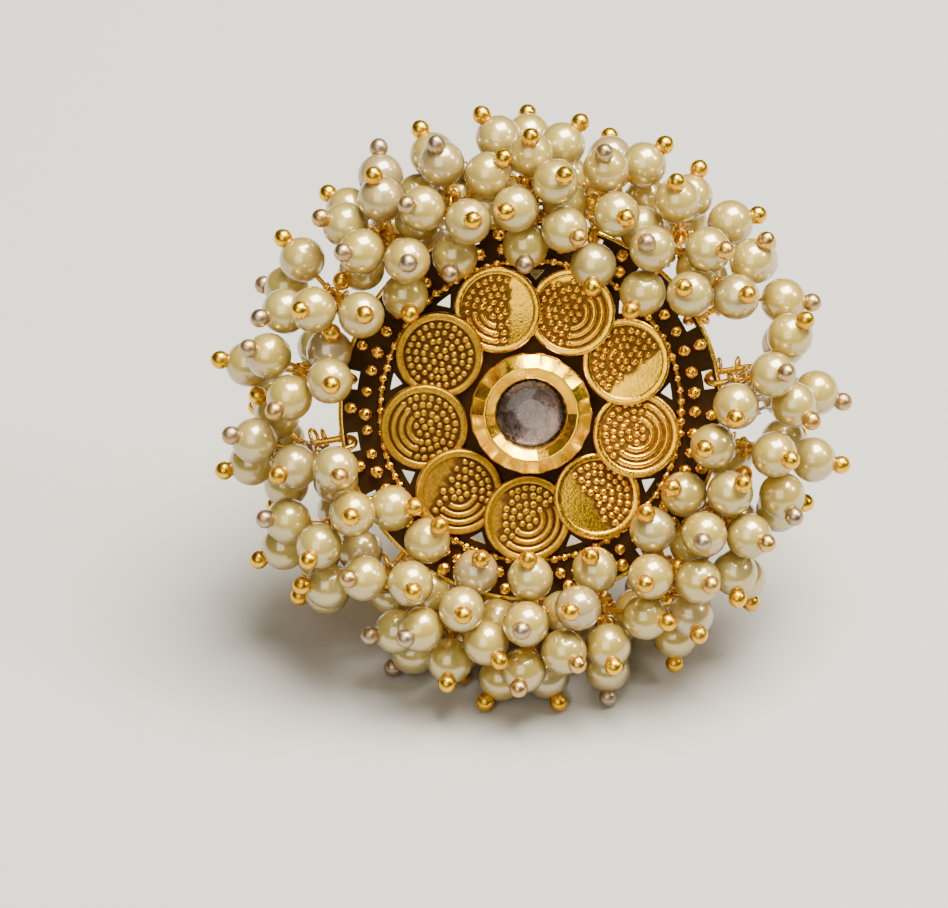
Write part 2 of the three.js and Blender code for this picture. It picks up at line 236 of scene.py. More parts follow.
def turned(name, outline, sides):
    """A solid of revolution about w from its (radius, height) outline, from axis to axis."""
    nothing_selected()
    bpy.ops.mesh.primitive_plane_add(size=0.1)
    piece = newest(name)
    edit(piece)
    bpy.ops.mesh.merge(type="CENTER")
    at = (0.0, 0.0)
    for radius, height in outline:
        step = (radius - at[0], 0, height - at[1])
        if at == (0.0, 0.0) and (radius, height) == outline[0]:
            bpy.ops.transform.translate(value=step)
        else:
            bpy.ops.mesh.extrude_vertices_move(TRANSFORM_OT_translate={"value": step})
        at = (radius, height)
    bpy.ops.mesh.select_all(action="SELECT")
    bpy.ops.mesh.spin(steps=sides, angle=TURN, center=(0, 0, 0), axis=(0, 0, 1))
    done()
    return closed_up(piece)


def hoop(name, radius, wire, around, sides):
    """A ring of round wire about w."""
    nothing_selected()
    bpy.ops.mesh.primitive_torus_add(
        major_radius=radius, minor_radius=wire, major_segments=around, minor_segments=sides
    )
    return smooth(newest(name), 80)


def copy_of(pattern, place, **values):
    """A copy of a pattern at a place, with its own mesh and these values marked on its corners."""
    piece = pattern.copy()
    piece.data = pattern.data.copy()
    piece.data.transform(place)
    bpy.context.scene.collection.objects.link(piece)
    for name, value in values.items():
        mark(piece, name, lambda corner, value=value: value)
    return piece


def mark(piece, name, value_at):
    """Marks each corner of a piece with a value that its finish reads."""
    marks = piece.data.attributes.get(name) or piece.data.attributes.new(name, "FLOAT", "POINT")
    marks.data.foreach_set("value", [value_at(corner.co) for corner in piece.data.vertices])
    return piece


def joined(name, pieces):
    nothing_selected()
    for piece in pieces:
        piece.select_set(True)
    bpy.context.view_layer.objects.active = pieces[0]
    bpy.ops.object.join()
    whole = bpy.context.object
    whole.name = name
    whole.data.name = name
    nothing_selected()
    return whole


def raised(piece, by):
    piece.data.transform(Matrix.Translation((0, 0, by)))
    return piece


def put_away(*patterns):
    for pattern in patterns:
        bpy.data.objects.remove(pattern)


def set_in_place(piece, finish, slot, *nodes):
    """A finished piece goes to its place on the ring, in its finish, and stands for these nodes."""
    piece.data.transform(TO_RING)
    piece.data.materials.clear()
    piece.data.materials.append(finish)
    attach(piece, "root")
    if nodes:
        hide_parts(*nodes)
    return piece


ANY_WAY = (0.31, 0.87, 0.38)


def aimed(start, direction, across=None):
    """The place of a pattern whose w points along direction and whose v leans towards across."""
    w = Vector(direction).normalized()
    v = Vector(ANY_WAY if across is None else across)
    v = (v - w * v.dot(w)).normalized()
    u = v.cross(w)
    turn = Matrix((u, v, w)).transposed().to_4x4()
    return Matrix.Translation(start) @ turn


# ---- finishes --------------------------------------------------------------------------------


class Finish:
    """A material or a shared effect, with short words for adding its nodes."""

    def __init__(self, tree):
        self.tree = tree

    def node(self, kind, settings=None, **inputs):
        made = self.tree.nodes.new(kind)
        for name, value in (settings or {}).items():
            setattr(made, name, value)
        self.feed(made, **inputs)
        return made

    def feed(self, node, **inputs):
        for name, value in inputs.items():
            self.plug(node, name.replace("_", " "), value)

    def plug(self, node, name, value):
        socket = node.inputs[int(name)] if name.isdigit() else node.inputs[name]
        if isinstance(value, bpy.types.NodeSocket):
            self.tree.links.new(value, socket)
        else:
            socket.default_value = value

    def mix(self, share, low, high):
        mixed = self.node("ShaderNodeMix", {"data_type": "RGBA"})
        for place, value in (("0", share), ("6", low), ("7", high)):
            self.plug(mixed, place, value)
        return mixed.outputs[2]

    def ranged(self, value, low, high, to_low=0.0, to_high=1.0):
        changed = self.node("ShaderNodeMapRange", {"interpolation_type": "SMOOTHSTEP"})
        for place, number in enumerate((value, low, high, to_low, to_high)):
            self.plug(changed, str(place), number)
        return changed.outputs[0]

    def maths(self, kind, first, second):
        made = self.node("ShaderNodeMath", {"operation": kind})
        self.plug(made, "0", first)
        self.plug(made, "1", second)
        return made.outputs[0]

    def noise(self, scale, detail=3.0, rough=0.55):
        """Noise with this many waves to a millimetre."""
        place = self.node("ShaderNodeTexCoord").outputs["Object"]
        settings = {"Vector": place, "Scale": scale / MM, "Detail": detail, "Roughness": rough}
        return self.node("ShaderNodeTexNoise", **settings).outputs["Fac"]

    def bump(self, strength, distance, height):
        """Relief of this height in millimetres."""
        made = self.node("ShaderNodeBump", Strength=strength, Distance=distance * MM, Height=height)
        return made.outputs["Normal"]

    def marked(self, name):
        return self.node("ShaderNodeAttribute", {"attribute_name": name}).outputs["Fac"]


def new_finish(name):
    """A new material, with its Finish and its shader."""
    material = bpy.data.materials.new(name)
    material.use_nodes = True
    return material, Finish(material.node_tree), material.node_tree.nodes["Principled BSDF"]


def shared_effect(name, inputs, outputs):
    """An empty node group with named inputs and outputs."""
    tree = bpy.data.node_groups.new(name, "ShaderNodeTree")
    for label, kind, value in inputs:
        socket = tree.interface.new_socket(label, in_out="INPUT", socket_type=kind)
        socket.default_value = value
    for label, kind in outputs:
        tree.interface.new_socket(label, in_out="OUTPUT", socket_type=kind)
    work = Finish(tree)
    return work, work.node("NodeGroupInput"), work.node("NodeGroupOutput")


def patina_effect():
    """Old gilding: dark where it lies low, as patina and painted shade, rubbed bright where it stands high,
    and clouded in between.
    """
    work, given, result = shared_effect(
        "patina_and_shade",
        [
            ("Bright", "NodeSocketColor", (0.9, 0.6, 0.2, 1)),
            ("Worn", "NodeSocketColor", (0.6, 0.35, 0.1, 1)),
            ("Deep", "NodeSocketColor", (0.05, 0.03, 0.01, 1)),
            ("Stands High", "NodeSocketFloat", 1.0),
            ("Clouding", "NodeSocketFloat", 0.5),
            ("Gloss", "NodeSocketFloat", 0.25),
        ],
        [("Color", "NodeSocketColor"), ("Roughness", "NodeSocketFloat"), ("Height", "NodeSocketFloat")],
    )
    clouds = work.noise(0.55, 4.0, 0.6)
    grit = work.noise(5.0, 3.0, 0.65)
    clouded = work.maths("MULTIPLY", work.ranged(clouds, 0.42, 0.68), given.outputs["Clouding"])
    gilding = work.mix(clouded, given.outputs["Bright"], given.outputs["Worn"])
    standing = work.maths("ADD", given.outputs["Stands High"], work.ranged(grit, 0.3, 0.7, -0.07, 0.07))
    # what lies low is mixed towards the deep colour: patina, and painted shade in the hollows
    shown = work.ranged(standing, 0.1, 0.6)
    work.feed(result, Color=work.mix(shown, given.outputs["Deep"], gilding))
    rough = work.maths("ADD", given.outputs["Gloss"], work.ranged(grit, 0.35, 0.75, 0.0, 0.12))
    dulled = work.maths("ADD", rough, work.maths("MULTIPLY", clouded, 0.14))
    low_lying = work.ranged(shown, 0.0, 1.0, 0.32, 0.0)
    work.feed(result, Roughness=work.maths("ADD", dulled, low_lying), Height=grit)
    return work.tree


PATINA_AND_SHADE = patina_effect()


def metal(name, bright, worn, deep, clouding, gloss, grain, relief=False, aged=None):
    """A gilded or silvered finish; relief darkens what lies low, by the marks on the piece, as patina and
    painted shade.
    """
    finish, work, shader = new_finish(name)
    gilding = (*bright, 1)
    rough = gloss
    if aged:
        tarnish = work.marked("tarnish")
        gilding = work.mix(work.ranged(tarnish, 0.3, 0.8), gilding, (*aged, 1))
        rough = work.ranged(tarnish, 0.3, 1.0, gloss, gloss + 0.1)
    patina_and_shade = work.node("ShaderNodeGroup", {"node_tree": PATINA_AND_SHADE}, Bright=gilding, Worn=(*worn, 1))
    if relief:
        # painted shade: a coin marked for it is pushed towards the deep colour, as if turned away from the
        # light; it is also made a little rougher
        painted_shade = work.marked("painted_shade")
        dulled = work.ranged(painted_shade, 0.0, 1.0, 1.0, 0.4)
        work.feed(patina_and_shade, Stands_High=work.maths("MULTIPLY", work.marked("stands_high"), dulled))
        rough = work.maths("ADD", gloss, work.maths("MULTIPLY", painted_shade, 0.12))
    work.feed(patina_and_shade, Deep=(*deep, 1), Clouding=clouding, Gloss=rough)
    shown = patina_and_shade.outputs
    work.feed(shader, Base_Color=shown["Color"], Roughness=shown["Roughness"], Metallic=1.0)
    work.feed(shader, Normal=work.bump(0.5, grain, shown["Height"]))
    return finish


def pearl_lacquer():
    """Cream pearl lacquer: each pearl has its own tone, and its edge turns deeper: partly the lacquer's own
    depth, partly painted shade and a painted reflection of dark surroundings.
    """
    finish, work, shader = new_finish("pearl_lacquer")
    tone = work.marked("tone")
    cream = work.mix(work.ranged(tone, 0.0, 0.75), (0.62, 0.47, 0.085, 1), (0.60, 0.48, 0.12, 1))
    cream = work.mix(work.ranged(tone, 0.78, 1.0), cream, (0.48, 0.37, 0.17, 1))
    clouds = work.ranged(work.noise(0.5, 3.0), 0.35, 0.7)
    cream = work.mix(work.maths("MULTIPLY", clouds, 0.35), cream, (0.52, 0.38, 0.09, 1))
    # painted shade: the edge seen at a slant is darkened, standing in for dark surroundings in its
    # reflection
    edge = work.node("ShaderNodeLayerWeight", Blend=0.42).outputs["Facing"]
    cream = work.mix(work.maths("MULTIPLY", edge, 0.95), cream, (0.17, 0.085, 0.012, 1))
    speckle = work.noise(9.0, 2.0)
    rough = work.ranged(speckle, 0.3, 0.7, 0.3, 0.4)
    work.feed(shader, Base_Color=cream, Metallic=0.3, Roughness=rough)
    work.feed(shader, Normal=work.bump(0.25, 0.004, speckle))
    work.feed(shader, Coat_Weight=1.0, Coat_Roughness=0.13, Coat_IOR=2.15)
    depths = (0.9 * MM, 0.6 * MM, 0.3 * MM)
    work.feed(shader, Subsurface_Weight=0.1, Subsurface_Radius=depths, Subsurface_Scale=1.0)
    return finish


def clear_stone():
    finish, work, shader = new_finish("clear_stone")
    scratches = work.noise(2.4, 4.0, 0.7)
    rough = work.ranged(scratches, 0.45, 0.75, 0.03, 0.16)
    work.feed(shader, Base_Color=(0.86, 0.82, 0.82, 1), Roughness=rough, IOR=1.5)
    work.feed(shader, Normal=work.bump(0.3, 0.006, scratches), Transmission_Weight=1.0)
    return finish


def mauve_foil():
    """Crinkled foil behind the stone."""
    finish, work, shader = new_finish("mauve_foil")
    crinkle = work.noise(1.3, 5.0, 0.7)
    tone = work.ranged(work.noise(0.5, 2.0), 0.35, 0.65)
    colour = work.mix(tone, (0.20, 0.15, 0.14, 1), (0.40, 0.31, 0.27, 1))
    colour = work.mix(work.marked("shade"), colour, (0.03, 0.022, 0.016, 1))
    rough = work.ranged(crinkle, 0.4, 0.7, 0.22, 0.45)
    work.feed(shader, Base_Color=colour, Roughness=rough, Metallic=1.0)
    work.feed(shader, Normal=work.bump(0.8, 0.12, crinkle))
    return finish


# Each metal's bright, worn and deep colours, its clouding, roughness and grain in millimetres, and relief.
COIN_GOLD = metal(
    "coin_gold", (0.97, 0.57, 0.015), (0.80, 0.38, 0.015), (0.14, 0.065, 0.018), 0.5, 0.13, 0.05, True
)
PLATE_GOLD = metal(
    "plate_gold", (0.90, 0.57, 0.05), (0.72, 0.40, 0.03), (0.05, 0.027, 0.01), 0.5, 0.2, 0.03, True
)
POLISHED_GOLD = metal(
    "polished_gold", (0.97, 0.63, 0.015), (0.70, 0.31, 0.02), (0.3, 0.15, 0.03), 0.7, 0.1, 0.006
)
BAND_GOLD = metal(
    "band_gold", (0.90, 0.63, 0.17), (0.72, 0.46, 0.11), (0.3, 0.15, 0.03), 0.55, 0.18, 0.008
)
AGED = (0.44, 0.35, 0.24)
WIRE_GOLD = metal(
    "wire_gold", (0.88, 0.50, 0.015), (0.56, 0.26, 0.025), (0.12, 0.07, 0.02), 0.45, 0.24, 0.004, aged=AGED
)
SILVERED = metal(
    "silvered_wire", (0.74, 0.66, 0.54), (0.45, 0.36, 0.24), (0.1, 0.08, 0.05), 0.5, 0.2, 0.01
)
PEARL_LACQUER = pearl_lacquer()
CLEAR_STONE = clear_stone()
MAUVE_FOIL = mauve_foil()

# ---- the dial --------------------------------------------------------------------------------


def hole_cutter(corners):
    """What cuts a hole through the plate, from the (radius, angle) corners of its outline."""
    nothing_selected()
    bpy.ops.mesh.primitive_circle_add(vertices=len(corners), radius=1, fill_type="NGON")
    cutter = newest("cutter")
    for corner, (radius, angle) in zip(cutter.data.vertices, corners):
        corner.co = polar(radius, angle, -2)
    edit(cutter)
    bpy.ops.mesh.extrude_region_move(TRANSFORM_OT_translate={"value": (0, 0, 4)})
    bpy.ops.mesh.select_all(action="SELECT")
    bpy.ops.mesh.normals_make_consistent(inside=False)
    return done()


def link_angle(k):
    return (k + 0.5) * TURN / LINK["count"]


def coin_angle(k):
    return COINS["start"] + k * TURN / COINS["count"]


def dial_plate():
    """The pierced plate, with a slot for each link inside its rim wire and a window between coins."""
    thick = PLATE["thickness"]
    edge = RIM_WIRE["radius"]
    chamfer = 0.05
    outline = [
        (0, -thick),
        (edge - chamfer, -thick),
        (edge, -thick + chamfer),
        (edge, -chamfer),
        (edge - chamfer, 0),
        (0, 0),
    ]
    plate = turned("dial_plate", outline, 144)
    cutters = []
    for k in range(LINK["count"]):
        at, half = link_angle(k), SLOTS["spread"] / 2
        inner, outer = SLOTS["inner"], SLOTS["outer"]
        arc = [at - half + half * step / 3 for step in range(7)]
        corners = [(outer, a) for a in arc] + [(inner, a) for a in reversed(arc)]
        cutters.append(hole_cutter(corners))
    for k in range(COINS["count"]):
        at, half = coin_angle(k + 0.5), WINDOWS["spread"] / 2
        base = [(WINDOWS["base"], at - half + half * step / 3) for step in range(7)]
        cutters.append(hole_cutter([(WINDOWS["apex"], at), *base]))
    cutter = joined("cutter", cutters)
    finished_with(plate, "BOOLEAN", object=cutter, operation="DIFFERENCE", solver="EXACT")
    put_away(cutter)
    rim = raised(hoop("rim", RIM_WIRE["radius"], RIM_WIRE["wire"], 120, 8), -thick / 2)
    smooth(plate, 30)
    # the plate's top, down among the coins, is marked low and shows the deep colour: patina and painted
    # shade
    mark(plate, "stands_high", lambda corner: 0.8 if corner.z < -thick / 2 else 0.0)
    mark(rim, "stands_high", lambda corner: 0.75)
    return joined("dial_plate", [plate, rim])


def ball(name, radius, around, rings):
    nothing_selected()
    bpy.ops.mesh.primitive_uv_sphere_add(segments=around, ring_count=rings, radius=radius)
    return smooth(newest(name), 180)


def beads_round(name, row, chance):
    """A ring of beads soldered side by side, each a little out of true."""
    bead, count = row["bead"], row["beads"]
    pattern = ball("bead", bead, 10, 6)
    # each bead is marked lower towards its foot: patina and painted shade where it meets the plate
    mark(pattern, "stands_high", lambda corner: 0.6 + 0.6 * corner.z / bead)
    beads = []
    for k in range(count):
        at = TURN * (k + chance.uniform(-0.12, 0.12)) / count
        out = row["radius"] + chance.uniform(-0.05, 0.05)
        size = Matrix.Scale(chance.uniform(0.88, 1.1), 4)
        beads.append(copy_of(pattern, Matrix.Translation(polar(out, at, row["height"])) @ size))
    put_away(pattern)
    return joined(name, beads)


def granulation(chance):
    """A beaded wire inside a row of larger granules."""
    beads = beads_round("beaded_wire", BEADED_WIRE, chance)
    wire = hoop("core", BEADED_WIRE["radius"], BEADED_WIRE["wire"], 96, 6)
    raised(wire, BEADED_WIRE["wire_height"])
    # the core wire between the beads is marked low: patina and painted shade
    mark(wire, "stands_high", lambda corner: 0.3)
    larger = beads_round("granules", GRANULES, chance)
    between = beads_round("strut_balls", STRUT_BALLS, chance)
    return joined("beaded_wire", [beads, wire]), joined("granules", [larger, between])


def field_height(radius):
    """The field of a coin over its middle plane: a shallow dome inside the rim."""
    low = COINS["thickness"] / 2 - COINS["relief"]
    inside = COINS["radius"] - COINS["rim"]
    return low + COINS["dome"] * max(0.0, 1 - (radius / inside) ** 2)


def coin_blank():
    top = COINS["thickness"] / 2
    radius, inside = COINS["radius"], COINS["radius"] - COINS["rim"]
    outline = [
        (0, -top),
        (radius - 0.06, -top),
        (radius, 0.06 - top),
        (radius, top - 0.12),
        (radius - 0.05, top - 0.03),
        (radius - 0.16, top),
        (inside + 0.1, top - 0.01),
        (inside + 0.04, top - 0.05),
        (inside, field_height(inside)),
        *[(part * inside / 6, field_height(part * inside / 6)) for part in range(5, -1, -1)],
    ]
    return smooth(turned("coin_blank", outline, 54), 50)


def ridge(radius, start, span, height):
    """A half-round ridge struck along an arc of a coin's field."""
    nothing_selected()
    bpy.ops.mesh.primitive_circle_add(
        vertices=10, radius=DOTS["radius"] * 0.8, fill_type="NGON", rotation=(pi / 2, 0, 0)
    )
    piece = newest("ridge")
    piece.data.transform(Matrix.Rotation(start + span, 4, "Z") @ Matrix.Translation((radius, 0, height)))
    edit(piece)
    steps = max(3, ceil(degrees(span) / 9))
    bpy.ops.mesh.spin(steps=steps, angle=span, center=(0, 0, 0), axis=(0, 0, 1), use_auto_merge=False)
    done()
    closed_up(piece)
    smooth(piece, 60)
    # each ridge is marked lower towards its foot: patina and painted shade
    return mark(piece, "stands_high", lambda corner: min(1.0, max(0.0, 0.25 + 5 * (corner.z - height))))


def struck_coin(k, blank, dot, chance):
    """Coin k with its rings of dots, its ridges and its smooth part, leaning on its neighbour."""
    strike = STRIKES[k]
    at = coin_angle(k)
    bare = polar(1, radians(strike["bare"]) - at)
    ridged, span = radians(strike["ridged"]) - at, radians(strike["span"])
    top = COINS["thickness"] / 2

    # the field among the dots is marked low for patina and painted shade; the rim and the bare field stand
    # high
    def how_high(corner):
        if corner.z > top - 0.07 or corner.z < 0:
            return 0.9
        return 0.7 if corner.dot(bare) > strike["bare_from"] + 0.15 else 0.17

    disc = copy_of(blank, Matrix.Identity(4))
    mark(disc, "stands_high", how_high)
    struck = [disc]
    for ring in range(DOTS["rings"] + 1):
        radius = ring * DOTS["pitch"]
        count = max(1, round(TURN * radius / DOTS["spacing"]))
        for n in range(count):
            angle = TURN * (n + 0.5 * (ring % 2)) / count + COINS["twist"] * k
            place = polar(radius, angle, field_height(radius))
            if place.to_2d().dot(bare.to_2d()) > strike["bare_from"]:
                continue
            turn_off = abs((angle - ridged + pi) % TURN - pi)
            if ring > 1 and turn_off < span / 2:
                continue
            place += Vector((chance.uniform(-0.05, 0.05), chance.uniform(-0.05, 0.05), 0))
            worn = 1 - strike["wear"] * chance.uniform(0.6, 1.4)
            size = Matrix.Diagonal((chance.uniform(0.85, 1.08), chance.uniform(0.85, 1.08), worn, 1))
            struck.append(copy_of(dot, Matrix.Translation(place) @ size))
        if ring > 1 and span:
            height = field_height(radius) - 0.03 * strike["wear"]
            struck.append(ridge(radius, ridged - span / 2, span, height))
    # each coin carries its painted shade, darker where it faces away from the light
    coin = mark(joined(f"coin_{k + 1}", struck), "painted_shade", lambda corner: strike["painted_shade"])
    centre = polar(COINS["circle"], at, COINS["lift"])
    lean = Matrix.Rotation(at, 4, "Z") @ Matrix.Rotation(-COINS["lean"], 4, "X")
    coin.data.transform(Matrix.Translation(centre) @ lean)
    return coin


def lapped_coins(chance):
    blank = coin_blank()
    wide, high = DOTS["radius"], DOTS["height"]
    side = [(wide, -0.04), (wide * 0.97, high * 0.35), (wide * 0.7, high * 0.82)]
    outline = [(0, -0.04), *side, (0, high)]
    dot = smooth(turned("dot", outline, 8), 180)
    # each dot is marked lower towards its foot: patina and painted shade between the dots
    mark(dot, "stands_high", lambda corner: 0.2 + 0.8 * max(0.0, corner.z) / high)
    coins = [struck_coin(k, blank, dot, chance) for k in range(COINS["count"])]
    put_away(blank, dot)
    return coins


def bezel_cup():
    """The bezel, whose bevels to its outer wall and to the stone are filed in small facets."""
    cup = BEZEL
    outline = [
        (0, -0.1),
        (cup["outer"] - 0.1, -0.1),
        (cup["outer"], 0.05),
        (cup["outer"], cup["shoulder"] - 0.12),
        (cup["outer"] - 0.07, cup["shoulder"] + 0.08),
        (cup["ridge"] + 0.06, cup["top"] - 0.02),
        (cup["ridge"] - 0.06, cup["top"] - 0.02),
        (cup["mouth"] + 0.06, cup["lip"] + 0.04),
        (cup["mouth"], cup["lip"] - 0.1),
        (cup["mouth"], cup["floor"]),
        (0, cup["floor"]),
    ]
    bezel = turned("bezel_cup", outline, FILED_FACETS)
    hammered = bpy.data.textures.new("hammered", "CLOUDS")
    hammered.noise_scale = 0.9
    finished_with(bezel, "DISPLACE", texture=hammered, strength=0.04, mid_level=0.5, texture_coords="LOCAL")
    bevelled(bezel, 0.035, 2, 7)
    return smooth(bezel, 6)


def foil_disc():
    """The foil behind the stone, in shadow along the upper edge."""
    wide = FOIL["radius"]
    steps = [(wide * part / 10, 0.02) for part in range(9, -1, -1)]
    foil = turned("foil_disc", [(0, -0.06), (wide, -0.06), (wide, 0.0), *steps], 48)
    lit = Vector(FOIL["lit"])

    def shade(corner):
        past = (corner.to_2d() - lit).length - FOIL["lit_within"]
        return min(1.0, max(0.0, past / FOIL["fading"]))

    mark(foil, "shade", shade)
    return raised(foil, FOIL["level"])


def cut_stone():
    """The stone: crown facets between a small table and the girdle, each split by the one over it."""
    level = STONE_LEVELS
    sides = STONE["facets"]
    rings = [
        (STONE["foot"], level["foot"], 0),
        (STONE["girdle"], level["girdle"], 0),
        (STONE["girdle"], level["edge"], 0),
        (STONE["crown"], level["crown"], 0.5),
        (STONE["table"], level["table"], 0),
    ]
    nothing_selected()
    bpy.ops.mesh.primitive_circle_add(vertices=sides, radius=rings[0][0], fill_type="NGON")
    stone = raised(newest("cut_stone"), rings[0][1])
    edit(stone)
    for (radius, height, turn), (wider, higher, further) in zip(rings, rings[1:]):
        bpy.ops.mesh.extrude_region_move(TRANSFORM_OT_translate={"value": (0, 0, higher - height)})
        bpy.ops.transform.resize(value=(wider / radius, wider / radius, 1), center_override=(0, 0, higher))
        if further != turn:
            bpy.ops.transform.rotate(
                value=(further - turn) * TURN / sides, orient_axis="Z", center_override=(0, 0, higher)
            )
    bpy.ops.mesh.select_all(action="SELECT")
    bpy.ops.mesh.quads_convert_to_tris()
    bpy.ops.mesh.normals_make_consistent(inside=False)
    return done()


# ---- the finger band -------------------------------------------------------------------------


def finger_band():
    nothing_selected()
    bpy.ops.mesh.primitive_cylinder_add(
        vertices=128,
        radius=BAND_OUTER,
        depth=BAND["width"],
        rotation=(0, pi / 2, 0),
        location=(0, 0, BAND_CENTRE),
    )
    band = newest("band")
    edit(band)
    select_faces(band, lambda face: abs(face.normal.x) > 0.9)
    bpy.ops.mesh.inset(thickness=BAND["wall"], depth=0, use_individual=True)
    bpy.ops.mesh.bridge_edge_loops()
    bpy.ops.mesh.select_all(action="SELECT")
    bpy.ops.mesh.bisect(plane_co=(0, 0, BAND["seat"]), plane_no=(0, 0, 1), use_fill=True, clear_outer=True)
    done()
    closed_up(band)
    bevelled(band, 0.3, 3, 30)
    smooth(band, 40)
    low, high = SOLDER["low"], SOLDER["high"]
    seat = turned("seat", [(0, low), (SOLDER["foot"], low), (SOLDER["head"], high), (0, high)], 32)
    return joined("band", [band, smooth(seat, 40)])


# ---- where the drops hang --------------------------------------------------------------------

ROWS = [
    {"row": "rim", "count": 18, "radius": 18.0, "height": -0.6, "start": 6},
    {"row": "flank", "count": 21, "radius": 16.7, "height": 2.0, "start": 0},
    {"row": "shoulder", "count": 20, "radius": 15.0, "height": 3.7, "start": 10},
    {"row": "crown", "count": 19, "radius": 13.1, "height": 4.3, "start": 3},
    {"row": "inner", "count": 18, "radius": 11.1, "height": 3.3, "start": 12},
    {"row": "under", "count": 38, "radius": 15.4, "height": -2.9, "start": 5},
]
# Where a row is left bare, from and to these directions.
BARE = {
    "inner": [(4, 44), (140, 196)],
    "crown": [(8, 34), (174, 190)],
    "shoulder": [(14, 28)],
    "under": [(0, 46), (134, 226), (314, 360)],
}
OVAL = 0.55
STRAY = {"turn": radians(5), "radius": 0.5, "height": 0.5}
REACH = {"least": 2.9, "most": 4.1}
SETTLE = {"rounds": 160, "free": 40, "pull": 0.06}
NEAR = 6
NEARBY = 9  # pairs further apart than this at the start of a round can't come near in it
ALONG_PIN = [0, 0.25, 0.5]
ALONG_LINK = [0.25, 0.55, 0.85]
OVER_COINS = {"within": 10.6, "height": 3.1}
OVER_EDGE = {"within": 12.95, "height": 2.4}
OVER_FINGER = {"within": BAND["bore"] + 2, "height": BAND_CENTRE + BAND["bore"] + PEARL}
SEED = 16
HAND_SEED = 7  # for all that is a little out of true
UPWARDS = np.array([0.0, sin(LEAN), cos(LEAN)])


def random_source(seed):
    """The same even chances from -1 to 1 that the drops were laid out with."""
    state = seed
    while True:
        state = (1664525 * state + 1013904223) % 4294967296
        yield 2 * state / 4294967296 - 1


def link_lean(k):
    return LINK["lean"] if k % 2 else -LINK["lean"]


def at_polar(radius, angle, height=0.0):
    return np.array([radius * cos(angle), radius * sin(angle), height])


def on_link(k, radius, across):
    """A point of link k, from its place along the radius and its height across the link."""
    at = link_angle(k)
    side = across * sin(link_lean(k))
    point = at_polar(radius, at, across * cos(link_lean(k)) - PLATE["thickness"] / 2)
    return point + np.array([-sin(at) * side, cos(at) * side, 0.0])


SEATS = [(0.35, 1), (0.6, 1), (0.85, 1), (1, 0.4), (1, -0.4), (0.8, -1), (0.5, -1), (0.65, -1), (1, 0)]
FLAT = cos(pi / 8)


def seat_point(k, seat):
    along, across = seat
    reach = LINK["outer"] - LINK["half"] + (LINK["half"] * FLAT if along == 1 else 0)
    start = LINK["inner"] + LINK["half"]
    radius = reach if along == 1 else start + along * (reach - start)
    return on_link(k, radius, across * LINK["half"] * FLAT)


class Drop:
    def __init__(self, pearl, link):
        self.pearl = pearl
        self.home = pearl.copy()
        self.link = link
        self.seat = None
        self.on_side = True

    def way_out(self):
        out = self.pearl - self.seat
        return out / norm(out)

    def ball(self):
        return self.pearl + self.way_out() * BALL["out"]


def is_bare(row, turned_to):
    return any(start < turned_to < end for start, end in BARE.get(row, []))


def loose_drops():
    chance = random_source(SEED)
    drops = []
    for row in ROWS:
        for k in range(row["count"]):
            turned_to = row["start"] + 360 * k / row["count"]
            angle = radians(turned_to) + STRAY["turn"] * next(chance)
            out = row["radius"] + OVAL * cos(2 * angle) + STRAY["radius"] * next(chance)
            pearl = at_polar(out, angle, row["height"] + STRAY["height"] * next(chance))
            if not is_bare(row["row"], turned_to):
                drops.append(Drop(pearl, floor(angle / TURN % 1 * LINK["count"])))
    return drops


def seat_drops(drops):
    """Each drop takes the nearest seat of its link that is still free."""
    taken = set()
    for drop in drops:
        free = [seat for seat in SEATS if (drop.link, seat) not in taken] or SEATS[:1]
        seat = min(free, key=lambda seat: norm(seat_point(drop.link, seat) - drop.pearl))
        taken.add((drop.link, seat))
        drop.seat = seat_point(drop.link, seat)
        drop.on_side = seat[0] < 1


def move_apart(a, p, b, q, least):
    apart = p - q
    distance = norm(apart)
    if distance < least:
        move = apart * (least - distance) / (2 * distance)
        a.pearl = a.pearl + move
        b.pearl = b.pearl - move


def keep_off(drop, point, least):
    away = drop.pearl - point
    distance = norm(away)
    if distance < least:
        drop.pearl = drop.pearl + away * (least - distance) / distance


def settle_pair(a, b):
    if norm(a.pearl - b.pearl) > NEAR:
        return
    move_apart(a, a.pearl, b, b.pearl, 2 * PEARL + GAP)
    move_apart(a, a.pearl, b, b.ball(), PEARL + BALL["radius"] + GAP)
    move_apart(b, b.pearl, a, a.ball(), PEARL + BALL["radius"] + GAP)
    move_apart(a, a.ball(), b, b.ball(), 2 * BALL["radius"] + GAP)
    for share in ALONG_PIN:
        keep_off(a, b.seat + (b.pearl - b.seat) * share, PEARL + PIN_RADIUS + GAP)
        keep_off(b, a.seat + (a.pearl - a.seat) * share, PEARL + PIN_RADIUS + GAP)


def settle_alone(drop):
    """Keeps a pearl off its link, the dial, the finger and the floor, and within its pin's length."""
    for share in ALONG_LINK:
        radius = LINK["inner"] + share * (LINK["outer"] - LINK["inner"])
        for across in (-LINK["half"], LINK["half"]):
            keep_off(drop, on_link(drop.link, radius, across), PEARL + LINK["wire"] + GAP)
    pearl = drop.pearl = drop.pearl.copy()
    radius = hypot(pearl[0], pearl[1])
    if radius < OVER_EDGE["within"]:
        pearl[2] = max(pearl[2], OVER_EDGE["height"])
    if radius < OVER_COINS["within"]:
        pearl[2] = max(pearl[2], OVER_COINS["height"])
    if abs(pearl[1]) < OVER_FINGER["within"]:
        pearl[2] = max(pearl[2], OVER_FINGER["height"])
    ball_low = drop.ball() @ UPWARDS + FLOOR_DEPTH - BALL["radius"]
    low = min(pearl @ UPWARDS + FLOOR_DEPTH - PEARL, ball_low)
    if low < 0:
        pearl -= UPWARDS * low
    out = pearl - drop.seat
    reach = norm(out)
    drop.pearl = drop.seat + out / reach * min(max(reach, REACH["least"]), REACH["most"])


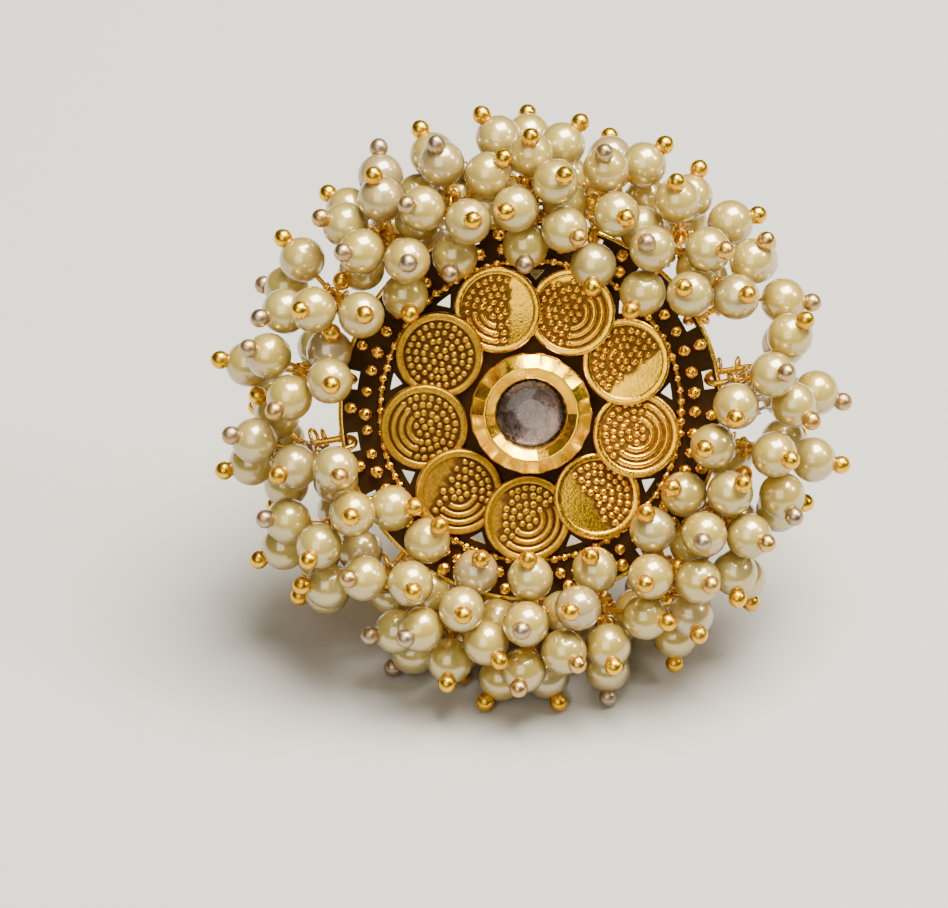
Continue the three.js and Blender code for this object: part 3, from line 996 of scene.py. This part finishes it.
def settled_drops():
    drops = loose_drops()
    seat_drops(drops)
    for turn in range(SETTLE["rounds"]):
        if turn < SETTLE["rounds"] - SETTLE["free"]:
            for drop in drops:
                drop.pearl = drop.pearl + (drop.home - drop.pearl) * SETTLE["pull"]
        pearls = np.array([drop.pearl for drop in drops])
        spread = norm(pearls[:, None] - pearls[None], axis=2)
        for i, j in np.argwhere(spread < NEARBY):
            if i < j:
                settle_pair(drops[i], drops[j])
        for drop in drops:
            settle_alone(drop)
    return drops


# ---- pearl bunches ---------------------------------------------------------------------------

UNDER_DROPS = {"tries": 16000, "inner": 12.4, "outer": 18.2, "low": -3.2, "high": 4.6, "most": 44}
UNDER_REACH = 1.9  # the least, from a seat to its pearl
# How far further drops may overlap the others.
OVERLAP = {"pearls": 0.02, "pearl_and_end": 0.06, "ends": 0.05}
# Gaps in the bunches, where the wires show: between these directions, in degrees, inside this radius.
GAPS = [{"from": -12, "to": 36, "inside": 16.4}, {"from": 168, "to": 192, "inside": 16.2}]


def clear_of(drop, others):
    """Whether a further drop fits between those that hang already."""
    ball_end = drop.ball()
    pearls = 2 * PEARL - OVERLAP["pearls"]
    pearl_and_end = PEARL + BALL["radius"] - OVERLAP["pearl_and_end"]
    ends = 2 * BALL["radius"] - OVERLAP["ends"]
    for other in others:
        if norm(drop.pearl - other.pearl) > NEAR:
            continue
        fits = (
            norm(drop.pearl - other.pearl) > pearls
            and norm(drop.pearl - other.ball()) > pearl_and_end
            and norm(ball_end - other.pearl) > pearl_and_end
            and norm(ball_end - other.ball()) > ends
        )
        if not fits:
            return False
    low, high = np.array(CAD_LOW), np.array(CAD_HIGH)
    for point, size in ((drop.pearl, PEARL), (ball_end, BALL["radius"])):
        on_ring = np.array(TO_RING @ Vector(point))
        if (on_ring - size * MM < low).any() or (on_ring + size * MM > high).any():
            return False
    if hypot(drop.pearl[0], drop.pearl[1]) < OVER_EDGE["within"] + 0.4:
        return drop.pearl[2] < -PLATE["thickness"] - PEARL and abs(drop.pearl[1]) > OVER_FINGER["within"]
    return True


def in_gap(turned_to, radius):
    return any(
        (turned_to - gap["from"]) % 360 < gap["to"] - gap["from"] and radius < gap["inside"] for gap in GAPS
    )


def under_drops(drops, chance):
    """Further drops deep between the others, where they fit."""
    found = []
    for _ in range(UNDER_DROPS["tries"]):
        angle = chance.uniform(0, TURN)
        out = chance.uniform(UNDER_DROPS["inner"], UNDER_DROPS["outer"])
        if in_gap(degrees(angle), out):
            continue
        pearl = at_polar(out, angle, chance.uniform(UNDER_DROPS["low"], UNDER_DROPS["high"]))
        drop = Drop(pearl, floor(angle / TURN % 1 * LINK["count"]))
        seat = min(SEATS, key=lambda seat: norm(seat_point(drop.link, seat) - pearl))
        drop.seat = seat_point(drop.link, seat)
        drop.on_side = seat[0] < 1
        reach = norm(pearl - drop.seat)
        if UNDER_REACH < reach < REACH["most"] and clear_of(drop, drops + found):
            found.append(drop)
        if len(found) == UNDER_DROPS["most"]:
            break
    return found


def drop_patterns():
    """What every drop is copied from, about the centre of its pearl."""
    pearl = ball("pearl", PEARL, 24, 14)
    outline = [
        (0, 1.36),
        (0.44, 1.42),
        (0.58, 1.62),
        (BALL["radius"] + 0.07, 1.87),
        (0.57, 2.1),
        (0.44, 2.29),
        (0.27, 2.42),
        (0.12, 2.48),
        (0, BALL["out"] + BALL["radius"]),
    ]
    end = smooth(turned("ball_end", outline, 12), 180)
    pin = smooth(turned("pin", [(0, 0), (PIN, 0), (PIN, 0.5), (PIN, 1), (0, 1)], 6), 60)
    eye = hoop("eye", EYE["radius"], EYE["wire"], 16, 6)
    turn = hoop("turn", PIN + 0.08, WRAP["wire"], 12, 5)
    tilt = Matrix.Rotation(WRAP["tilt"], 4, "X")
    along = [Matrix.Translation((0, 0, WRAP["pitch"] * n)) for n in range(WRAP["turns"])]
    turns = [copy_of(turn, place @ tilt) for place in along]
    put_away(turn)
    return {"pearl": pearl, "end": end, "pin": pin, "eye": eye, "wrap": joined("wrap", turns)}


def wires_of(drop, patterns, chance):
    """The pin of a drop, with its ball end, its wrapped wire and its eye round the link."""
    out = drop.way_out()
    reach = norm(drop.pearl - drop.seat)
    tarnish = chance.uniform(0.5, 1.0) if chance.random() < TARNISHED else chance.uniform(0.0, 0.4)
    place = aimed(drop.pearl, out, (chance.uniform(-1, 1), chance.uniform(-1, 1), 0.6))
    eye_end = EYE["radius"] - reach
    shank = Matrix.Translation((0, 0, eye_end)) @ Matrix.Diagonal((1, 1, PEARL - eye_end, 1))
    wrapped = Matrix.Translation((0, 0, eye_end + WRAP["off_eye"]))
    along = polar(1, link_angle(drop.link)) if drop.on_side else Vector(
        on_link(drop.link, LINK["outer"], 1) - on_link(drop.link, LINK["outer"], -1)
    )
    across = along.cross(Vector(out))
    ring = aimed(drop.seat, across.cross(Vector(out)), out)
    return [
        copy_of(patterns["end"], place, tarnish=tarnish),
        copy_of(patterns["pin"], place @ shank, tarnish=0.45),
        copy_of(patterns["wrap"], place @ wrapped, tarnish=0.5),
        copy_of(patterns["eye"], ring, tarnish=chance.uniform(0.1, 0.8)),
    ]


def wire_link(k):
    """A link of round wire: a ring with its outer half drawn out along the radius."""
    link = hoop("link", LINK["half"], LINK["wire"], 24, 8)
    link.data.transform(Matrix.Rotation(TURN / 48, 4, "Z"))
    edit(link)
    bpy.ops.mesh.select_all(action="DESELECT")
    bpy.ops.object.mode_set(mode="OBJECT")
    for corner in link.data.vertices:
        corner.select = corner.co.x > 0
    bpy.ops.object.mode_set(mode="EDIT")
    drawn = LINK["outer"] - LINK["inner"] - 2 * LINK["half"]
    bpy.ops.transform.translate(value=(drawn, 0, 0))
    done()
    at = link_angle(k)
    middle = polar(LINK["inner"] + LINK["half"], at, -PLATE["thickness"] / 2)
    lean = Matrix.Rotation(at, 4, "Z") @ Matrix.Rotation(pi / 2 - link_lean(k), 4, "X")
    link.data.transform(Matrix.Translation(middle) @ lean)
    return mark(link, "tarnish", lambda corner: 0.35)


def spare_loops(k, chance):
    """Small loops of wire threaded on link k among the eyes of its drops."""
    pattern = hoop("spare_loop", SPARE_LOOPS["radius"], SPARE_LOOPS["wire"], 16, 6)
    along = polar(1, link_angle(k))
    loops = []
    for n in range(SPARE_LOOPS["each"]):
        share = (n + chance.uniform(0.2, 0.8)) / SPARE_LOOPS["each"]
        radius = LINK["inner"] + LINK["half"] + share * (LINK["outer"] - LINK["inner"] - LINK["half"])
        side = 1 if n % 2 else -1
        thread = Vector(on_link(k, min(radius, LINK["outer"] - LINK["half"]), side * LINK["half"]))
        hang = Vector((chance.uniform(-1, 1), chance.uniform(-1, 1), side * chance.uniform(0.2, 1)))
        hang = (hang - along * hang.dot(along)).normalized()
        middle = thread + hang * (SPARE_LOOPS["radius"] - SPARE_LOOPS["wire"])
        normal = along + Vector([chance.uniform(-0.35, 0.35) for _ in range(3)])
        size = Matrix.Diagonal((1, chance.uniform(0.75, 1.1), 1, 1))
        place = aimed(middle, normal, hang) @ size
        loops.append(copy_of(pattern, place, tarnish=chance.uniform(0.0, 0.7)))
    put_away(pattern)
    return loops


def pearls_of(drops, patterns, name, chance):
    pearls = []
    for drop in drops:
        place = aimed(drop.pearl, drop.way_out())
        pearls.append(copy_of(patterns["pearl"], place, tone=chance.random()))
    return joined(name, pearls)


def loose_wires(chance):
    """Thin bare wires that stick out between the drops where the bunches leave a gap."""
    bare = LOOSE_WIRES
    wires = []
    for _ in range(bare["count"]):
        radius = chance.uniform(bare["inner"], bare["outer"])
        start = polar(radius, radians(chance.uniform(bare["from"], bare["to"])), chance.uniform(-0.2, 0.9))
        heading = radians(chance.uniform(14, 34))
        length = chance.uniform(1.8, 3.0)
        bend = chance.uniform(-0.25, 0.4)
        nothing_selected()
        bpy.ops.curve.primitive_bezier_curve_add()
        wire = bpy.context.object
        near, far = wire.data.splines[0].bezier_points
        end = start + polar(length, heading, chance.uniform(0.0, 0.8))
        side = polar(bend, heading + pi / 2)
        third = polar(length / 3, heading)
        near.co, near.handle_left, near.handle_right = start, start, start + third + side
        far.co, far.handle_right, far.handle_left = end, end, end - third + side
        wire.data.bevel_depth = chance.uniform(bare["thin"], bare["thick"])
        wire.data.bevel_resolution = 1
        wire.data.resolution_u = 8
        wire.data.use_fill_caps = True
        bpy.ops.object.convert(target="MESH")
        wires.append(smooth(bpy.context.object, 60))
    return joined("loose_wires", wires)


# ---- the studio ------------------------------------------------------------------------------


def toned_floor():
    nothing_selected()
    bpy.ops.mesh.primitive_plane_add(size=3)
    floor_piece = newest("studio_floor")
    finish, work, shader = new_finish("studio_floor")
    work.feed(shader, Base_Color=(0.47, 0.46, 0.44, 1), Roughness=0.75)
    floor_piece.data.materials.append(finish)


def facing(direction):
    """A turn that points local Z along direction and keeps local X level."""
    z = Vector(direction).normalized()
    x = Vector((-z.y, z.x, 0)) if abs(z.x) > abs(z.y) else Vector((1, 0, 0))
    x = (x - z * x.dot(z)).normalized()
    return Matrix((x, z.cross(x), z)).transposed().to_4x4()


def softbox(name, direction, distance, size, power, colour):
    """An area light that faces the ring's face from this direction, in metres and watts."""
    light = bpy.data.lights.new(name, "AREA")
    light.shape = "RECTANGLE"
    light.size, light.size_y = size
    light.energy = power
    light.color = colour
    box = bpy.data.objects.new(name, light)
    bpy.context.scene.collection.objects.link(box)
    box.matrix_world = Matrix.Translation(HEAD) @ facing(direction) @ Matrix.Translation((0, 0, distance))


def soft_surroundings(colour, strength):
    world = bpy.data.worlds.new("studio")
    world.use_nodes = True
    background = world.node_tree.nodes["Background"]
    background.inputs["Color"].default_value = (*colour, 1)
    background.inputs["Strength"].default_value = strength
    bpy.context.scene.world = world


CAMERA = {"rise": radians(40), "distance": 0.254, "lens": 148, "aside": -0.0037, "down": -0.0028}


def camera():
    lens = bpy.data.cameras.new("camera")
    lens.lens = CAMERA["lens"]
    lens.clip_start = 0.01
    view = bpy.data.objects.new("camera", lens)
    bpy.context.scene.collection.objects.link(view)
    towards = Vector((0, -cos(CAMERA["rise"]), sin(CAMERA["rise"])))
    upwards = Vector((0, sin(CAMERA["rise"]), cos(CAMERA["rise"])))
    aim = HEAD + Vector((CAMERA["aside"], 0, 0)) + upwards * CAMERA["down"]
    view.matrix_world = Matrix.Translation(aim + towards * CAMERA["distance"]) @ facing(towards)
    bpy.context.scene.camera = view


# ---- putting the ring together ---------------------------------------------------------------


def put_together():
    chance = random.Random(HAND_SEED)
    set_in_place(dial_plate(), PLATE_GOLD, "antique_gold", "coin_dial")
    for piece in [*granulation(chance), *lapped_coins(chance)]:
        set_in_place(piece, COIN_GOLD, "antique_gold", "coin_dial")
    set_in_place(bezel_cup(), POLISHED_GOLD, "antique_gold", "coin_dial")
    set_in_place(foil_disc(), MAUVE_FOIL, "stone_glass", "centre_stone")
    set_in_place(cut_stone(), CLEAR_STONE, "stone_glass", "centre_stone")
    set_in_place(finger_band(), BAND_GOLD, "band_gold", "finger_band")

    drops = settled_drops()
    deeper = under_drops(drops, chance)
    patterns = drop_patterns()
    for k in range(LINK["count"]):
        node = f"pearl_bunch_{k + 1:02d}"
        own = [drop for drop in drops if drop.link == k]
        hanging = own + [drop for drop in deeper if drop.link == k]
        wires = [wire_link(k), *spare_loops(k, chance)]
        for drop in hanging:
            wires += wires_of(drop, patterns, chance)
        set_in_place(joined(f"wires_{k + 1:02d}", wires), WIRE_GOLD, "wire_gold", node)
        pearls = pearls_of(hanging, patterns, f"pearls_{k + 1:02d}", chance)
        set_in_place(pearls, PEARL_LACQUER, "pearl", node)
    put_away(*patterns.values())
    set_in_place(loose_wires(chance), SILVERED, "wire_gold")


put_together()
toned_floor()
KEY = UP_FACE * 0.88 + FACE * 0.44 + Vector((0.21, 0, 0))
FRONT = FACE + UP_FACE * 0.2 + Vector((-0.27, 0, 0))
SIDE = UP_FACE * 0.5 + FACE * 0.37 + Vector((0.78, 0, 0))
softbox("key", KEY, 0.5, (0.3, 0.38), 12.0, (1.0, 0.95, 0.84))
softbox("front", FRONT, 0.7, (0.46, 0.56), 2.2, (1.0, 0.93, 0.77))
softbox("side", SIDE, 0.6, (0.12, 0.12), 1.3, (1.0, 0.93, 0.8))
soft_surroundings((1.0, 0.96, 0.9), 0.06)
camera()
